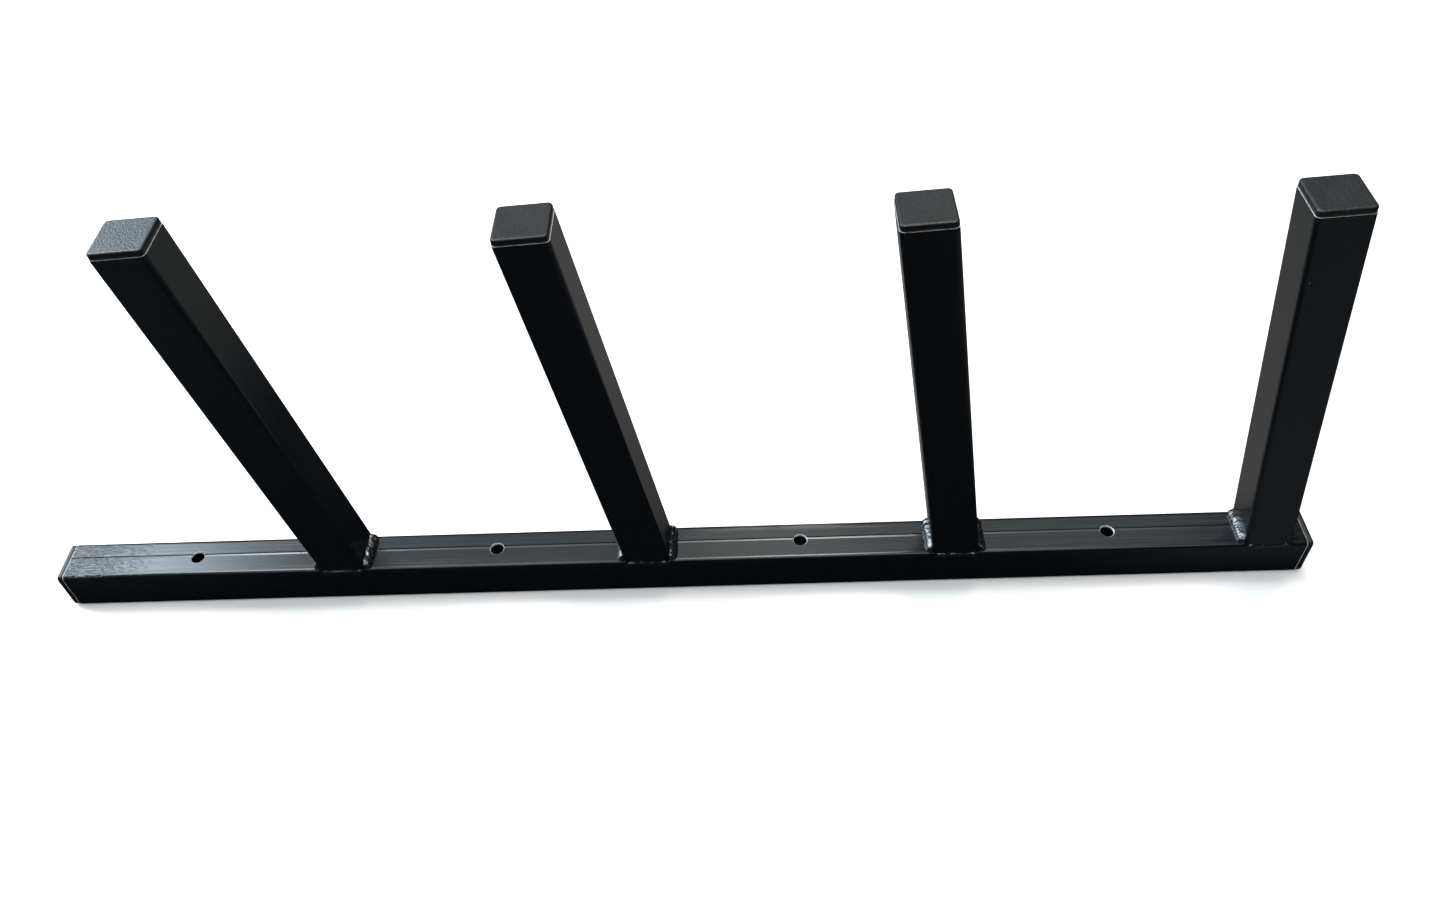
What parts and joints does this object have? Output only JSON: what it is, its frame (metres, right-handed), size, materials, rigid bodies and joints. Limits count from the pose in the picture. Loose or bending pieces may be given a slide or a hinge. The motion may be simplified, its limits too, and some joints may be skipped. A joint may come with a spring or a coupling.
{
  "type": "wall storage rack",
  "caption": "Wall storage rack: a square steel rail that bolts to a wall, with leaning square arms welded to it and plastic caps in every open tube end.",
  "frame": {"origin": "middle of the rail's wall face, which is the middle of the part's length and depth at its lowest face", "axes": "+X along the rail towards its short free end, +Z out of the wall along the arms, +Y across the rail to its back side; the arms lean towards -X"},
  "size_m": [1.1024, 0.041, 0.391],
  "materials": {
    "tube_paint": "satin black powder coat",
    "cap_plastic": "fine matt grain",
    "weld_bead": "satin black over rippled weld"
  },
  "bodies": {
    "root": {"rail_tube": "tube_paint", "rail_cap_left": "cap_plastic", "rail_cap_right": "cap_plastic", "arm_tube_1": "tube_paint", "arm_cap_1": "cap_plastic", "weld_left_1": "weld_bead", "weld_right_1": "weld_bead", "weld_front_1": "weld_bead", "weld_back_1": "weld_bead", "arm_tube_2": "tube_paint", "arm_cap_2": "cap_plastic", "weld_left_2": "weld_bead", "weld_right_2": "weld_bead", "weld_front_2": "weld_bead", "weld_back_2": "weld_bead", "arm_tube_3": "tube_paint", "arm_cap_3": "cap_plastic", "weld_left_3": "weld_bead", "weld_right_3": "weld_bead", "weld_front_3": "weld_bead", "weld_back_3": "weld_bead", "arm_tube_4": "tube_paint", "arm_cap_4": "cap_plastic", "weld_left_4": "weld_bead", "weld_right_4": "weld_bead", "weld_front_4": "weld_bead", "weld_back_4": "weld_bead"}
  },
  "joints": []
}
